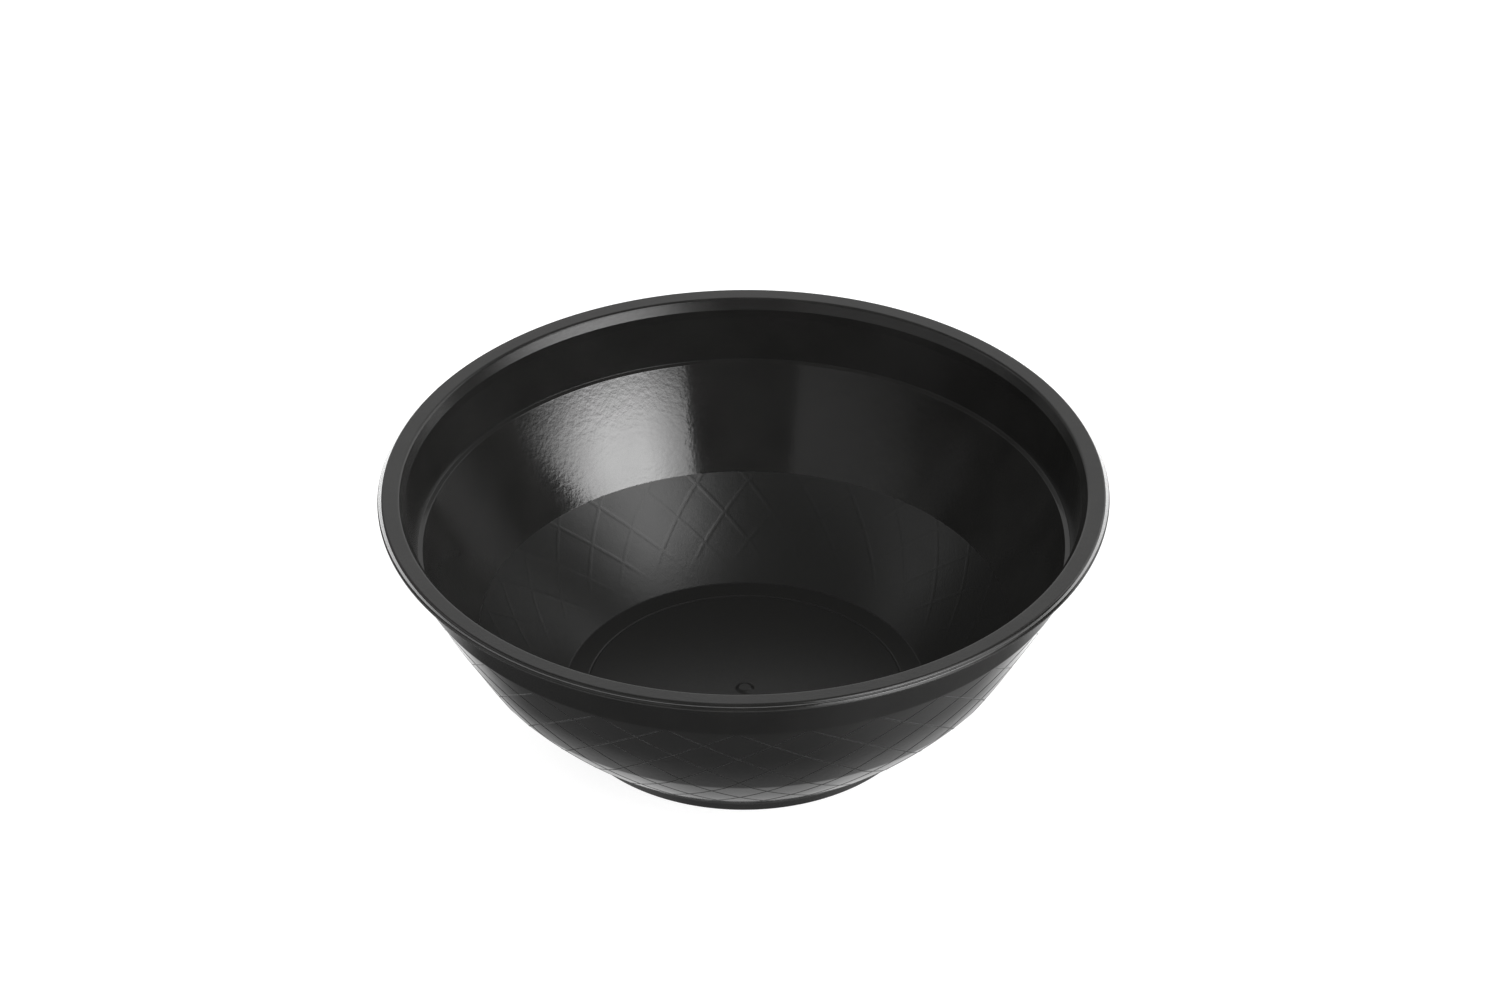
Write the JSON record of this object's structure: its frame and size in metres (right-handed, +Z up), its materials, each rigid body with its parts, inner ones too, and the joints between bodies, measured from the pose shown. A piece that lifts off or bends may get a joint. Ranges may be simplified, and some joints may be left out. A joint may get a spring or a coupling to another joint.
{
  "type": "hair colour bowl",
  "caption": "Round moulded mixing bowl with a flat lip, a steep band over a small ledge, a creased tapering wall and a low foot ring.",
  "frame": {"origin": "centre of the foot ring, on the surface the bowl stands on", "axes": "+Z up along the bowl's axis; X and Y are free, because the bowl is round"},
  "size_m": [0.15, 0.15, 0.0542],
  "materials": {
    "black_plastic": "glossy black polypropylene, slightly satin inside below the crease"
  },
  "bodies": {
    "root": {"bowl": "black_plastic"}
  },
  "joints": []
}
